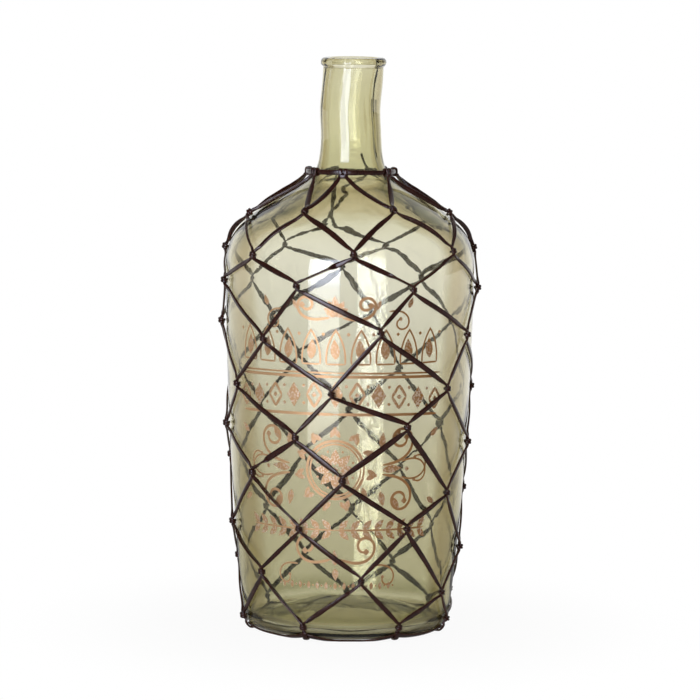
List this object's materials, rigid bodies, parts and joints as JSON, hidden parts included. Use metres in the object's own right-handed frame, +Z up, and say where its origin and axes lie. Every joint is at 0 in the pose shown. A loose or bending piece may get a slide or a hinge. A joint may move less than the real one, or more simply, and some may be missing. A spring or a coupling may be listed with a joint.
{
  "type": "bottle vase in a knotted leather net",
  "caption": "Tall empty glass bottle vase with an open mouth, held in a hand-knotted net of flat leather lace tied round the neck and under the heel.",
  "frame": {"origin": "on the floor under the middle of the bottle", "axes": "+Z up along the bottle's axis, -Y towards the front, +X to the right as seen from the front"},
  "size_m": [0.1704, 0.1697, 0.3701],
  "materials": {
    "glass": "clear pale olive glass, gloss, gently wavy",
    "leather_lace": "dark brown flat leather lace, satin"
  },
  "bodies": {
    "root": {"glass_bottle": "glass", "neck_lace": "leather_lace", "base_lace": "leather_lace", "net_lace_1": "leather_lace", "net_lace_2": "leather_lace", "net_lace_3": "leather_lace", "net_lace_4": "leather_lace", "net_lace_5": "leather_lace", "net_lace_6": "leather_lace", "net_lace_7": "leather_lace"}
  },
  "joints": []
}
